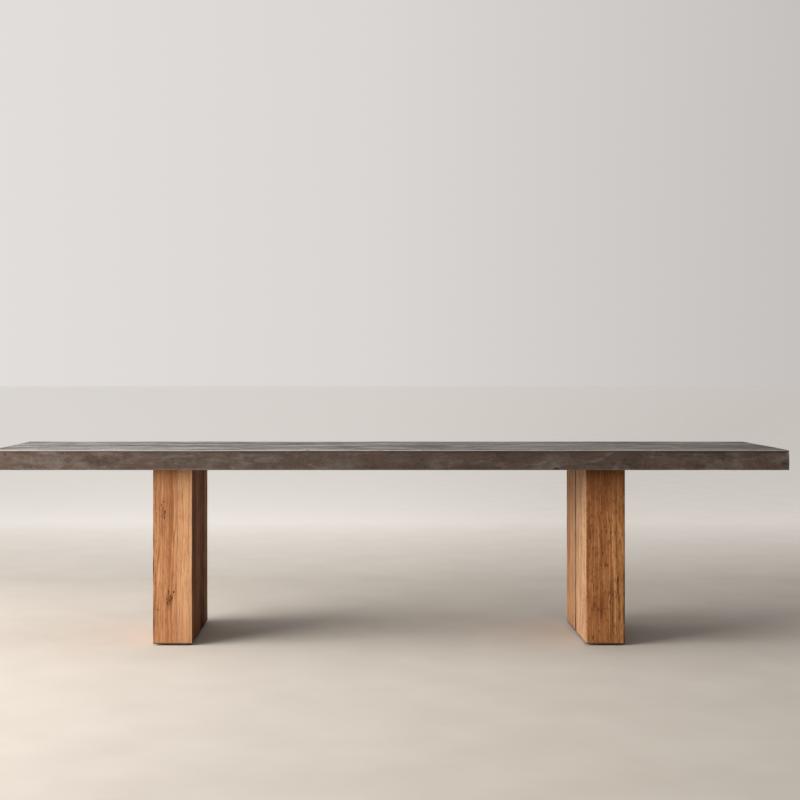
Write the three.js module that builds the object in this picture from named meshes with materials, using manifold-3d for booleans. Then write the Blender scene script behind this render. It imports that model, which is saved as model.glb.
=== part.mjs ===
// Garden bench: a fibre-reinforced concrete seat slab on two laminated teak slab legs.
// Millimetres, +Z up. The origin is on the ground under the middle of the bench.
// X runs along the bench, and -Y is its front.

import * as THREE from "three";
import { mergeVertices } from "three/addons/utils/BufferGeometryUtils.js";
import Module from "manifold-3d";

const wasm = await Module();
wasm.setup();

// ---- driving dimensions ----

const BENCH = { length: 1829, depth: 406, height: 455 };

// The seat: a cast shell, open underneath, with foam in its bays and closing panels over them.
const SLAB = {
  thickness: 47,
  cornerRadius: 5,
  arris: 2.5, // rounding of the top and bottom edges
  skin: 15, // concrete over the foam
  wall: 22, // concrete round the sides
  bandHalfWidth: 115, // half the solid band over each leg
  ribHalfWidth: 12, // half the rib across the middle
};
const PANEL = { thickness: 6, lap: 6, gap: 0.5 };

// Each leg is two layers of upright staves, glued face to face with their seams staggered.
const LEG = { centreX: 500, width: 91, depth: 326, glueLine: 0.25, easedEdge: 2 };
const LEGS = [
  {
    side: "left",
    sign: -1,
    layers: [
      { name: "outer", thickness: 56, staveWidths: [118, 96, 112] },
      { name: "inner", thickness: 35, staveWidths: [94, 74, 80, 78] },
    ],
  },
  {
    side: "right",
    sign: 1,
    layers: [
      { name: "outer", thickness: 31.5, staveWidths: [98, 124, 104] },
      { name: "inner", thickness: 59.5, staveWidths: [103, 65, 43, 115] },
    ],
  },
];

// A steel plate joins each leg to the slab: screwed down onto the leg, bolted up into the slab.
const PLATE = { width: 190, depth: 300, thickness: 6, cornerRadius: 10, recessGap: 1 };
const BOLT = { atX: 72, atY: 115, radius: 3.9, length: 25, headRadius: 8, headHeight: 4, hole: 4.5 };
const TOP_INSERT = { bore: 4.3, radius: 7, length: 21, seatGap: 0.3 };
const LAG = { atX: 28, atY: 105, radius: 3.9, length: 80, headRadius: 7.5, headHeight: 4.4 };
const HEX_KEY = { acrossFlats: 5, depth: 2.6 };

// Levelling feet: a nylon base that swivels on a steel stud, screwed into an insert in the leg.
const FOOT = {
  atY: 120,
  gap: 4, // leg to ground with the foot screwed right in
  baseRadius: 15,
  baseHeight: 3.8,
  studRadius: 3.9,
  studTop: 38,
  hexAcrossFlats: 13,
  hexBottom: 4.4,
  hexTop: 8.4,
};
const FOOT_INSERT = { bore: 4.3, radius: 6, top: 28, flangeRadius: 8.5, flangeBottom: 9, flangeTop: 10.5 };

const FIT = 0.3; // clearance round hardware seated in wood, concrete or steel
const ROUND = 12; // sides of a round piece
const FINE_ROUND = 24; // sides of the foot bases

const UNDERSIDE = BENCH.height - SLAB.thickness;
const LEG_BOTTOM = FOOT.gap;
const PANEL_TOP = UNDERSIDE + PANEL.thickness;
const BAY_CEILING = BENCH.height - SLAB.skin;

// ---- materials ----

const finish = (color, roughness, metalness = 0) =>
  new THREE.MeshStandardMaterial({ color, roughness, metalness });

const MATERIAL = {
  concrete: finish(0x5e554d, 0.75),
  panel: finish(0x8b8a84, 0.9),
  foam: finish(0xb9c9d2, 0.95),
  teak: finish(0xa9713f, 0.6),
  paleTeak: finish(0xc79561, 0.6),
  blackSteel: finish(0x26282a, 0.5, 0.6),
  zincSteel: finish(0xa9adb0, 0.4, 0.9),
  brass: finish(0xb5965a, 0.4, 0.9),
  nylon: finish(0x17181a, 0.6),
};

// ---- solids ----

// A closed geometry as a solid that can be cut.
function solidOf(geometry) {
  const bare = geometry.index ? geometry.toNonIndexed() : geometry.clone();
  bare.deleteAttribute("normal");
  bare.deleteAttribute("uv");
  const merged = mergeVertices(bare, 1e-4);
  return new wasm.Manifold(
    new wasm.Mesh({
      numProp: 3,
      vertProperties: merged.attributes.position.array,
      triVerts: new Uint32Array(merged.index.array),
    }),
  );
}

function geometryOf(solid) {
  const mesh = solid.getMesh();
  return new THREE.BufferGeometry()
    .setAttribute("position", new THREE.BufferAttribute(mesh.vertProperties, 3))
    .setIndex(new THREE.BufferAttribute(mesh.triVerts, 1))
    .toNonIndexed();
}

// The geometry with every tool cut out of it.
function cut(geometry, tools) {
  let solid = solidOf(geometry);
  for (const tool of tools) solid = solid.subtract(solidOf(tool));
  const result = geometryOf(solid);
  result.computeVertexNormals();
  return result;
}

// A box between two corners.
function boxBetween([x0, y0, z0], [x1, y1, z1]) {
  return new THREE.BoxGeometry(x1 - x0, y1 - y0, z1 - z0).translate(
    (x0 + x1) / 2,
    (y0 + y1) / 2,
    (z0 + z1) / 2,
  );
}

// An upright round or many-sided bar, or a cone when topRadius differs.
function bar(radius, z0, z1, sides = ROUND, topRadius = radius) {
  return new THREE.CylinderGeometry(topRadius, radius, z1 - z0, sides)
    .rotateX(Math.PI / 2)
    .translate(0, 0, (z0 + z1) / 2);
}

// An upright hexagonal bar of a given width across its flats.
function hexBar(acrossFlats, z0, z1) {
  return bar(acrossFlats / Math.sqrt(3), z0, z1, 6);
}

// A turned piece: outline points are [radius, height], and run anticlockwise in that plane.
function turned(outline, sides = ROUND) {
  const points = outline.map(([r, z]) => new THREE.Vector2(r, z));
  return new THREE.LatheGeometry(points, sides).rotateX(Math.PI / 2);
}

// A rectangle centred on x, y, each corner rounded by its own radius:
// [front left, front right, back right, back left].
function rectangle(x, y, width, depth, radii) {
  const [left, right] = [x - width / 2, x + width / 2];
  const [front, back] = [y - depth / 2, y + depth / 2];
  const [frontLeft, frontRight, backRight, backLeft] = radii;
  const shape = new THREE.Shape();
  shape.moveTo(left + frontLeft, front);
  shape.lineTo(right - frontRight, front);
  if (frontRight) shape.quadraticCurveTo(right, front, right, front + frontRight);
  shape.lineTo(right, back - backRight);
  if (backRight) shape.quadraticCurveTo(right, back, right - backRight, back);
  shape.lineTo(left + backLeft, back);
  if (backLeft) shape.quadraticCurveTo(left, back, left, back - backLeft);
  shape.lineTo(left, front + frontLeft);
  if (frontLeft) shape.quadraticCurveTo(left, front, left + frontLeft, front);
  return shape;
}

// A shape raised from z0 to z1, with its top and bottom edges rounded by arris.
function raised(shape, z0, z1, arris = 0) {
  return new THREE.ExtrudeGeometry(shape, {
    depth: z1 - z0 - 2 * arris,
    bevelEnabled: arris > 0,
    bevelSize: arris,
    bevelThickness: arris,
    bevelOffset: -arris,
    bevelSegments: 3,
    curveSegments: 4,
  }).translate(0, 0, z0 + arris);
}

// The four corners of a rectangle of fasteners, numbered from the front left.
function fourCorners(atX, atY) {
  return [
    [-atX, -atY],
    [atX, -atY],
    [atX, atY],
    [-atX, atY],
  ];
}

function named(name, geometry, material, x = 0, y = 0, z = 0) {
  const mesh = new THREE.Mesh(geometry, material);
  mesh.name = name;
  mesh.position.set(x, y, z);
  return mesh;
}

// ---- seat slab ----

// The bays of the casting from left to right: where the foam goes.
function bays() {
  const endOfSlab = BENCH.length / 2 - SLAB.wall;
  const outerBand = LEG.centreX + SLAB.bandHalfWidth;
  const innerBand = LEG.centreX - SLAB.bandHalfWidth;
  return [
    { name: "left_end", x0: -endOfSlab, x1: -outerBand },
    { name: "left_middle", x0: -innerBand, x1: -SLAB.ribHalfWidth },
    { name: "right_middle", x0: SLAB.ribHalfWidth, x1: innerBand },
    { name: "right_end", x0: outerBand, x1: endOfSlab },
  ];
}

// The closing panels from left to right: the middle one covers two bays and the rib.
function panels() {
  const [leftEnd, leftMiddle, rightMiddle, rightEnd] = bays();
  return [
    { name: "left", x0: leftEnd.x0, x1: leftEnd.x1 },
    { name: "middle", x0: leftMiddle.x0, x1: rightMiddle.x1 },
    { name: "right", x0: rightEnd.x0, x1: rightEnd.x1 },
  ];
}

const BAY_HALF_DEPTH = BENCH.depth / 2 - SLAB.wall;

function panelBox({ x0, x1 }, margin, z0, z1) {
  const halfDepth = BAY_HALF_DEPTH + margin;
  return boxBetween([x0 - margin, -halfDepth, z0], [x1 + margin, halfDepth, z1]);
}

function topCasting() {
  const radii = Array(4).fill(SLAB.cornerRadius);
  const block = raised(
    rectangle(0, 0, BENCH.length, BENCH.depth, radii),
    UNDERSIDE,
    BENCH.height,
    SLAB.arris,
  );
  const below = UNDERSIDE - 1;
  const tools = [];
  for (const bay of bays()) tools.push(panelBox(bay, 0, below, BAY_CEILING));
  for (const panel of panels()) tools.push(panelBox(panel, PANEL.lap, below, PANEL_TOP));
  for (const { sign } of LEGS) {
    const x = sign * LEG.centreX;
    const halfWidth = PLATE.width / 2 + PLATE.recessGap;
    const halfDepth = PLATE.depth / 2 + PLATE.recessGap;
    const ceiling = UNDERSIDE + PLATE.thickness + FIT;
    tools.push(boxBetween([x - halfWidth, -halfDepth, below], [x + halfWidth, halfDepth, ceiling]));
    const seatTop = ceiling + TOP_INSERT.seatGap + TOP_INSERT.length + FIT;
    for (const [boltX, boltY] of fourCorners(BOLT.atX, BOLT.atY))
      tools.push(bar(TOP_INSERT.radius + FIT, below, seatTop).translate(x + boltX, boltY, 0));
  }
  return cut(block, tools);
}

function seatSlab() {
  const group = new THREE.Group();
  group.add(named("top_casting", topCasting(), MATERIAL.concrete));
  for (const panel of panels()) {
    const board = panelBox(panel, PANEL.lap - PANEL.gap, UNDERSIDE, PANEL_TOP - FIT);
    group.add(named(`underside_panel_${panel.name}`, board, MATERIAL.panel));
  }
  for (const bay of bays()) {
    const core = panelBox(bay, -PANEL.gap, PANEL_TOP, BAY_CEILING - FIT);
    group.add(named(`foam_core_${bay.name}`, core, MATERIAL.foam));
  }
  return group;
}

// ---- legs ----

// Holes drilled in a leg, about its own upright centre line.
function legHoles() {
  const holes = [];
  for (const [x, y] of fourCorners(LAG.atX, LAG.atY)) {
    const bottom = UNDERSIDE + PLATE.thickness - LAG.length - FIT;
    holes.push(bar(LAG.radius + FIT, bottom, UNDERSIDE + 1).translate(x, y, 0));
  }
  for (const y of [-FOOT.atY, FOOT.atY]) {
    const below = LEG_BOTTOM - 1;
    const counterbore = bar(FOOT_INSERT.flangeRadius + FIT, below, FOOT_INSERT.flangeTop + FIT);
    const seat = bar(FOOT_INSERT.radius + FIT, below, FOOT_INSERT.top + FIT);
    const studRoom = bar(FOOT.studRadius + 1, below, FOOT.studTop + 4);
    for (const hole of [counterbore, seat, studRoom]) holes.push(hole.translate(0, y, 0));
  }
  return holes;
}

// One layer of staves across the leg's depth, between two x positions from the leg's centre line.
// freeSide is the x direction in which the layer faces the open air.
function layerOfStaves(side, layer, x0, x1, freeSide) {
  const group = new THREE.Group();
  const seam = LEG.glueLine / 2;
  const last = layer.staveWidths.length - 1;
  let front = -LEG.depth / 2;
  layer.staveWidths.forEach((width, i) => {
    const back = front + width;
    const y0 = i === 0 ? front : front + seam;
    const y1 = i === last ? back : back - seam;
    const left = freeSide < 0 ? x0 : x0 + seam;
    const right = freeSide > 0 ? x1 : x1 - seam;
    const eased = (atEnd, faceSide) => (atEnd && faceSide === freeSide ? LEG.easedEdge : 0);
    const outline = rectangle((left + right) / 2, (y0 + y1) / 2, right - left, y1 - y0, [
      eased(i === 0, -1),
      eased(i === 0, 1),
      eased(i === last, 1),
      eased(i === last, -1),
    ]);
    const stave = cut(raised(outline, LEG_BOTTOM, UNDERSIDE), legHoles());
    const pale = side === "right" && layer.name === "inner" && i === 0;
    const material = pale ? MATERIAL.paleTeak : MATERIAL.teak;
    group.add(named(`${side}_leg_${layer.name}_stave_${i + 1}`, stave, material));
    front = back;
  });
  return group;
}

function legStaves({ side, sign, layers }) {
  const group = new THREE.Group();
  const [outer, inner] = layers;
  const outerFace = (sign * LEG.width) / 2;
  const seamX = outerFace - sign * outer.thickness;
  const innerFace = seamX - sign * inner.thickness;
  const between = (a, b) => [Math.min(a, b), Math.max(a, b)];
  group.add(layerOfStaves(side, outer, ...between(outerFace, seamX), sign));
  group.add(layerOfStaves(side, inner, ...between(seamX, innerFace), -sign));
  return group;
}

// ---- plate and its fasteners ----

function mountingPlate() {
  const radii = Array(4).fill(PLATE.cornerRadius);
  const top = PLATE.thickness;
  const blank = raised(rectangle(0, 0, PLATE.width, PLATE.depth, radii), 0, top);
  const tools = [];
  for (const [x, y] of fourCorners(BOLT.atX, BOLT.atY))
    tools.push(bar(BOLT.hole, -1, top + 1).translate(x, y, 0));
  for (const [x, y] of fourCorners(LAG.atX, LAG.atY)) {
    tools.push(bar(LAG.radius + FIT, -1, top + 1).translate(x, y, 0));
    const sink = top - LAG.headHeight - FIT;
    tools.push(
      bar(LAG.radius + FIT, sink, top, ROUND, LAG.headRadius + FIT).translate(x, y, 0),
    );
  }
  return cut(blank, tools);
}

// A button-head bolt with its head below z = 0 and its shank above.
function plateBolt() {
  const { radius, length, headRadius, headHeight } = BOLT;
  const body = turned([
    [0, -headHeight],
    [0.55 * headRadius, -headHeight],
    [0.85 * headRadius, -0.6 * headHeight],
    [headRadius, -0.2 * headHeight],
    [headRadius, 0],
    [radius, 0],
    [radius, length - 1],
    [radius - 1, length],
    [0, length],
  ]);
  return cut(body, [hexBar(HEX_KEY.acrossFlats, -headHeight - 1, -headHeight + HEX_KEY.depth)]);
}

// A threaded insert cast into the slab, its mouth at z = 0, with a waist that keys it in.
function topInsert() {
  const { bore, radius, length } = TOP_INSERT;
  const waist = radius - 0.8;
  return turned([
    [bore, 0],
    [radius, 0],
    [radius, 0.38 * length],
    [waist, 0.43 * length],
    [waist, 0.57 * length],
    [radius, 0.62 * length],
    [radius, length],
    [bore, length],
    [bore, 0],
  ]);
}

// A countersunk wood screw with the top of its head at z = 0.
function lagScrew() {
  const { radius, length, headRadius, headHeight } = LAG;
  const body = turned([
    [0, -length],
    [0.4 * radius, -length + 2],
    [radius, -length + 10],
    [radius, -headHeight],
    [headRadius, -0.4],
    [headRadius, 0],
    [0, 0],
  ]);
  return cut(body, [hexBar(HEX_KEY.acrossFlats, -HEX_KEY.depth, 1)]);
}

function plateAndFasteners({ side, sign }) {
  const group = new THREE.Group();
  group.position.x = sign * LEG.centreX;
  group.add(
    named(`${side}_mounting_plate`, mountingPlate(), MATERIAL.blackSteel, 0, 0, UNDERSIDE),
  );
  const plateTop = UNDERSIDE + PLATE.thickness;
  const insertMouth = plateTop + FIT + TOP_INSERT.seatGap;
  fourCorners(BOLT.atX, BOLT.atY).forEach(([x, y], i) => {
    const number = i + 1;
    group.add(
      named(`${side}_plate_bolt_${number}`, plateBolt(), MATERIAL.zincSteel, x, y, UNDERSIDE),
      named(`${side}_top_insert_${number}`, topInsert(), MATERIAL.brass, x, y, insertMouth),
    );
  });
  fourCorners(LAG.atX, LAG.atY).forEach(([x, y], i) => {
    group.add(named(`${side}_lag_screw_${i + 1}`, lagScrew(), MATERIAL.zincSteel, x, y, plateTop));
  });
  return group;
}

// ---- levelling feet ----

// The nylon base: a disc with a socket inside it that holds the round end of the stud.
function footBase() {
  const { baseRadius, baseHeight } = FOOT;
  const socket = { radius: 6.6, floor: 1, ceiling: 3.1, mouth: 4.6 };
  return turned(
    [
      [0, 0],
      [baseRadius - 1.5, 0],
      [baseRadius, 1.2],
      [baseRadius, baseHeight - 0.8],
      [baseRadius - 0.8, baseHeight],
      [socket.mouth, baseHeight],
      [socket.mouth, socket.ceiling],
      [socket.radius, socket.ceiling],
      [socket.radius, socket.floor],
      [0, socket.floor],
    ],
    FINE_ROUND,
  );
}

// The stud: a round end in the base, a neck, a hexagon for a spanner, and the threaded shank.
function footStud() {
  const { studRadius, studTop, hexAcrossFlats, hexBottom, hexTop } = FOOT;
  const shank = turned([
    [0, 1.3],
    [6, 1.3],
    [6, 2.8],
    [3.5, 2.8],
    [3.5, hexBottom + 1],
    [studRadius, hexBottom + 1],
    [studRadius, studTop - 1],
    [studRadius - 1, studTop],
    [0, studTop],
  ]);
  const hexagon = hexBar(hexAcrossFlats, hexBottom, hexTop);
  const joined = geometryOf(solidOf(shank).add(solidOf(hexagon)));
  joined.computeVertexNormals();
  return joined;
}

// The flanged insert in the leg that the stud screws into.
function footInsert() {
  const { bore, radius, top, flangeRadius, flangeBottom, flangeTop } = FOOT_INSERT;
  return turned([
    [bore, flangeBottom],
    [flangeRadius, flangeBottom],
    [flangeRadius, flangeTop],
    [radius, flangeTop],
    [radius, top],
    [bore, top],
    [bore, flangeBottom],
  ]);
}

function levellingFeet({ side, sign }) {
  const group = new THREE.Group();
  group.position.x = sign * LEG.centreX;
  for (const [end, y] of [
    ["front", -FOOT.atY],
    ["back", FOOT.atY],
  ]) {
    const name = `${side}_${end}_foot`;
    group.add(
      named(`${name}_base`, footBase(), MATERIAL.nylon, 0, y),
      named(`${name}_stud`, footStud(), MATERIAL.zincSteel, 0, y),
      named(`${name}_insert`, footInsert(), MATERIAL.brass, 0, y),
    );
  }
  return group;
}

// ---- assembly ----

const bench = new THREE.Group();
bench.add(seatSlab());
for (const leg of LEGS) {
  const staves = legStaves(leg);
  staves.position.x = leg.sign * LEG.centreX;
  bench.add(staves, plateAndFasteners(leg), levellingFeet(leg));
}

export default bench;
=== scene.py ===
# Garden bench: how it looks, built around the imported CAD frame.
# Metres, +Z up, the front towards -Y. Every piece's place comes from the frame.

import math
import random
from bisect import bisect_left, bisect_right

import bmesh
import bpy
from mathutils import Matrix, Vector, noise
from mathutils.bvhtree import BVHTree


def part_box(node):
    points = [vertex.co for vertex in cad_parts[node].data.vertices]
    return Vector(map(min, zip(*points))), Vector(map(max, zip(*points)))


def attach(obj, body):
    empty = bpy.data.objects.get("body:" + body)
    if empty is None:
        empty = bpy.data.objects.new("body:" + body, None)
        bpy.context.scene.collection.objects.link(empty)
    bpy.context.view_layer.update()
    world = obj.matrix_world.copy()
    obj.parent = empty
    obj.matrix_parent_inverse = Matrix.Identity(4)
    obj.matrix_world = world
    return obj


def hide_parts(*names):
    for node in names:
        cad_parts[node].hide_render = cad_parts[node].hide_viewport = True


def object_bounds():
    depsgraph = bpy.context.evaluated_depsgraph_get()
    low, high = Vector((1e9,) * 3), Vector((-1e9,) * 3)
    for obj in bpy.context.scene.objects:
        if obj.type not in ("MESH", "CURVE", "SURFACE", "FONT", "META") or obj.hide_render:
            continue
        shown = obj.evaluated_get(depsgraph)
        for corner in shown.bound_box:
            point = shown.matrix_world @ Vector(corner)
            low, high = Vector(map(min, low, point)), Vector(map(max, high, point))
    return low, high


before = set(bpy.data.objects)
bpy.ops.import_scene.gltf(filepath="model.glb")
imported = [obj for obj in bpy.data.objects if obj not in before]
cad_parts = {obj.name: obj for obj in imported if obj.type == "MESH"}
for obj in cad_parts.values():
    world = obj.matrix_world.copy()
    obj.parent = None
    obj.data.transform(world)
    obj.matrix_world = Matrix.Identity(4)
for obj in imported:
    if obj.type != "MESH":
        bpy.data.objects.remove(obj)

CAD_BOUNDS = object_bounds()
MM = 0.001
SIDES = ("left", "right")
ENDS = ("front", "back")


def nodes_called(start):
    """The names of the CAD nodes that begin with start."""
    return [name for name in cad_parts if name.startswith(start)]


def leg_nodes(side):
    """The names of one leg's staves, in order."""
    return sorted(nodes_called(f"{side}_leg_"))


def box_round(nodes):
    """The lowest and highest corners of several nodes together."""
    corners = [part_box(n) for n in nodes]
    lo = Vector([min(c[0][axis] for c in corners) for axis in range(3)])
    hi = Vector([max(c[1][axis] for c in corners) for axis in range(3)])
    return lo, hi


def axis_of(node):
    """The x and y of a node's upright axis."""
    lo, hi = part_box(node)
    return (lo.x + hi.x) / 2, (lo.y + hi.y) / 2


def clamped(value):
    """The value, or 0 or 1 where it is beyond them."""
    return min(1, max(0, value))


def near_box(x, y, lo, hi, margin):
    """Whether x and y are inside a box or within margin of it."""
    return lo.x - margin < x < hi.x + margin and lo.y - margin < y < hi.y + margin


def placed(name, data):
    """A new object in the scene."""
    made = bpy.data.objects.new(name, data)
    bpy.context.scene.collection.objects.link(made)
    return made


# ---- camera, floor and light ----

# How far the camera is to the left of the bench's middle, in front of it and above its top.
CAMERA_LEFT = 0.048
CAMERA_AWAY = 3.308
CAMERA_ABOVE = 0.177
FLOOR_HALF = 60  # half of the floor's width
FLOOR_PAINT = [(0.3, (0.60, 0.548, 0.487)), (0.7, (0.64, 0.588, 0.527))]
# The light of the room's far end, from its left to its right.
FAR_END = [(0.36, (0.76, 0.735, 0.715)), (0.5, (0.70, 0.675, 0.655)), (0.65, (0.55, 0.53, 0.515))]
# The light of the room's other walls, from left to right.
WALLS = [(0.1, (0.50, 0.49, 0.48)), (0.6, (0.30, 0.29, 0.28)), (0.9, (0.10, 0.10, 0.10))]


def make_camera():
    """A level camera in front of the bench and a little left of its middle, as in the photograph."""
    front, top = CAD_BOUNDS[0].y, CAD_BOUNDS[1].z
    camera = placed("camera", bpy.data.cameras.new("camera"))
    camera.location = (-CAMERA_LEFT, front - CAMERA_AWAY, top + CAMERA_ABOVE)
    camera.rotation_euler = (math.radians(90), 0, 0)
    camera.data.sensor_width = 36
    camera.data.lens = 65.25
    camera.data.shift_x = 0.0398
    camera.data.shift_y = -0.035
    camera.data.clip_end = 100
    bpy.context.scene.camera = camera


def make_floor():
    """A plain pale floor that runs out of every view, with a painted glow that brightens it into the far
    end of the room.
    """
    mesh = bpy.data.meshes.new("floor")
    half = FLOOR_HALF
    corners = [(-half, -half, 0), (half, -half, 0), (half, half, 0), (-half, half, 0)]
    mesh.from_pydata(corners, [], [(0, 1, 2, 3)])
    floor = placed("floor", mesh)
    paint = Surface("pale_floor")
    shade = paint.noise(6, detail=3)
    paint.set(Base_Color=paint.ramp(shade, FLOOR_PAINT), Roughness=0.8, Specular_IOR_Level=0.1)
    outwards = paint.node("ShaderNodeVectorMath", {"operation": "NORMALIZE"})
    paint.feed(outwards.inputs[0], paint.place)
    sideways = paint.node("ShaderNodeSeparateXYZ", Vector=outwards.outputs[0]).outputs["X"]
    # the floor glows: painted light of the far end, brighter further off
    paint.set(Emission_Color=paint.ramp(paint.between(sideways, -1, 1), FAR_END))
    paint.set(Emission_Strength=paint.between(paint.axes["Y"], 0.9, 2.6, 0, 0.62))
    floor.data.materials.append(paint.material)


def area_light(name, place, aim, watts, blue, spread=180):
    """A flat warm light, 3 m by 2 m, at place and facing aim. blue is how much blue it has, and
    spread is the angle its beam opens to, in degrees."""
    light = bpy.data.lights.new(name, "AREA")
    light.shape = "RECTANGLE"
    light.size, light.size_y = 3.0, 2.0
    light.energy = watts
    light.color = (1.0, 0.98, blue)
    light.spread = math.radians(spread)
    lamp = placed(name, light)
    lamp.location = place
    lamp.rotation_euler = (Vector(aim) - Vector(place)).to_track_quat("-Z", "Y").to_euler()


def make_light():
    """A wide soft window at the left, a weak light overhead and a dim room with a pale far end."""
    area_light("window", (-3.0, -1.3, 1.2), (0, 0, 0.3), watts=112, blue=0.955, spread=125)
    area_light("ceiling", (-0.3, 0.2, 3.2), (0, 0, 0), watts=20, blue=0.96)
    world = bpy.data.worlds.new("room")
    bpy.context.scene.world = world
    room = Network(world)
    coordinates = room.node("ShaderNodeTexCoord")
    way = room.node("ShaderNodeSeparateXYZ", Vector=coordinates.outputs["Generated"]).outputs
    rightwards = room.between(way["X"], -1, 1)
    ahead = room.between(way["Y"], 0.6, 0.94)
    light = room.mix(ahead, room.ramp(rightwards, WALLS), room.ramp(rightwards, FAR_END))
    room.feed(room.nodes["Background"].inputs["Color"], light)


# ---- node materials ----


class Network:
    """The nodes of a world or a material. Most methods add a node and give back its output."""

    def __init__(self, owner):
        owner.use_nodes = True
        self.nodes = owner.node_tree.nodes
        self.links = owner.node_tree.links

    def feed(self, socket, value):
        if isinstance(value, bpy.types.NodeSocket):
            self.links.new(value, socket)
        elif isinstance(value, tuple) and socket.type == "RGBA" and len(value) == 3:
            socket.default_value = (*value, 1)
        else:
            socket.default_value = value

    def node(self, kind, settings=(), **sockets):
        """A new node, which this gives back whole."""
        made = self.nodes.new(kind)
        for name, value in dict(settings).items():
            setattr(made, name, value)
        for name, value in sockets.items():
            self.feed(made.inputs[name], value)
        return made

    def math(self, operation, *values):
        made = self.node("ShaderNodeMath", {"operation": operation})
        for socket, value in zip(made.inputs, values):
            self.feed(socket, value)
        return made.outputs[0]

    def total(self, *weighted):
        """The sum of the outputs, each times its weight."""
        result = 0.0
        for value, weight in weighted:
            result = self.math("MULTIPLY_ADD", value, weight, result)
        return result

    def product(self, first, *others):
        for other in others:
            first = self.math("MULTIPLY", first, other)
        return first

    def between(self, value, low, high, to_low=0.0, to_high=1.0):
        """value stretched so that low becomes to_low and high becomes to_high, and no further."""
        made = self.node("ShaderNodeMapRange", {"clamp": True})
        for socket, number in zip(made.inputs, (value, low, high, to_low, to_high)):
            self.feed(socket, number)
        return made.outputs[0]

    def ramp(self, value, stops):
        """Colours by value, from pairs of a position and a colour."""
        made = self.node("ShaderNodeValToRGB", Fac=value)
        elements = made.color_ramp.elements
        while len(elements) < len(stops):
            elements.new(0.5)
        for element, (position, colour) in zip(elements, stops):
            element.position = position
            element.color = (*colour, 1)
        return made.outputs["Color"]

    def mix(self, factor, a, b):
        made = self.node("ShaderNodeMix", {"data_type": "RGBA"})
        for socket, value in zip((made.inputs[0], made.inputs[6], made.inputs[7]), (factor, a, b)):
            self.feed(socket, value)
        return made.outputs[2]

    def lay(self, tone, colour, *masks):
        """A tone laid over a colour, as strongly as the masks multiplied together."""
        return self.mix(self.product(*masks), colour, tone)


class Surface(Network):
    """A material being made, whose patterns are laid out in the object's own space."""

    def __init__(self, name):
        self.material = bpy.data.materials.new(name)
        super().__init__(self.material)
        self.shader = self.nodes["Principled BSDF"]
        self.place = self.node("ShaderNodeTexCoord").outputs["Object"]
        self.axes = self.node("ShaderNodeSeparateXYZ", Vector=self.place).outputs

    def set(self, **sockets):
        """Sets the shader's own sockets, with _ for each space in a name."""
        for name, value in sockets.items():
            self.feed(self.shader.inputs[name.replace("_", " ")], value)

    def noise(self, scale, place=None, detail=4, roughness=0.5, distortion=0):
        look = {"Scale": scale, "Detail": detail, "Roughness": roughness, "Distortion": distortion}
        return self.node("ShaderNodeTexNoise", Vector=place or self.place, **look).outputs["Fac"]

    def drawn(self, scale, offset=(0, 0, 0), turn=0, **look):
        """Noise with a scale for each axis: a small one draws the pattern out. turn is in degrees."""
        made = self.node("ShaderNodeMapping", Vector=self.place, Scale=scale, Location=offset)
        self.feed(made.inputs["Rotation"], (0, 0, math.radians(turn)))
        return self.noise(1, made.outputs[0], **look)

    def cells(self, scale):
        return self.node("ShaderNodeTexVoronoi", Vector=self.place, Scale=scale).outputs["Distance"]

    def attribute(self, name):
        return self.node("ShaderNodeAttribute", {"attribute_name": name}).outputs["Fac"]

    def relief(self, *layers):
        """Sets the shader's relief, from heights and their depths in mm, each layer on the last."""
        below = None
        for height, depth in layers:
            made = self.node("ShaderNodeBump", Height=height, Distance=depth * MM, Strength=1.0)
            if below is not None:
                self.feed(made.inputs["Normal"], below)
            below = made.outputs[0]
        self.set(Normal=below)

    def facing(self):
        """The way the surface faces, as three outputs."""
        normal = self.node("ShaderNodeNewGeometry").outputs["Normal"]
        return self.node("ShaderNodeSeparateXYZ", Vector=normal).outputs


def shaded(colour, share):
    """A colour with each part multiplied by share."""
    return tuple(part * share for part in colour)


# The concrete's own tones, and then the tones that lie over them.
CONCRETE_TONES = [
    (0.45, (0.043, 0.028, 0.021)),
    (0.51, (0.078, 0.053, 0.040)),
    (0.56, (0.110, 0.080, 0.063)),
    (0.64, (0.170, 0.138, 0.117)),
]
RUSTY_BLOOM = (0.108, 0.060, 0.041)
DARKER_MIDDLE = (0.056, 0.036, 0.027)
TROWELLED_TOP = (0.225, 0.196, 0.176)
WORN_TOP = (0.083, 0.064, 0.053)
PALE_SWIRL = (0.46, 0.422, 0.388)
PALE_SCUFF = (0.33, 0.298, 0.272)
LIP_SHADOW = (0.024, 0.016, 0.012)
CEMENT_GRAIN = (0.040, 0.032, 0.027)
SAND_GRAIN = (0.34, 0.31, 0.28)
RUBBED_AND_HIGHLIT_ARRIS = (0.49, 0.459, 0.428)
PAINTED_ARRIS_SHADE = (0.022, 0.016, 0.013)
HOLLOW_SHADE = (0.018, 0.014, 0.011)
PIN_HOLE_SHADE = (0.02, 0.016, 0.013)


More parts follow.
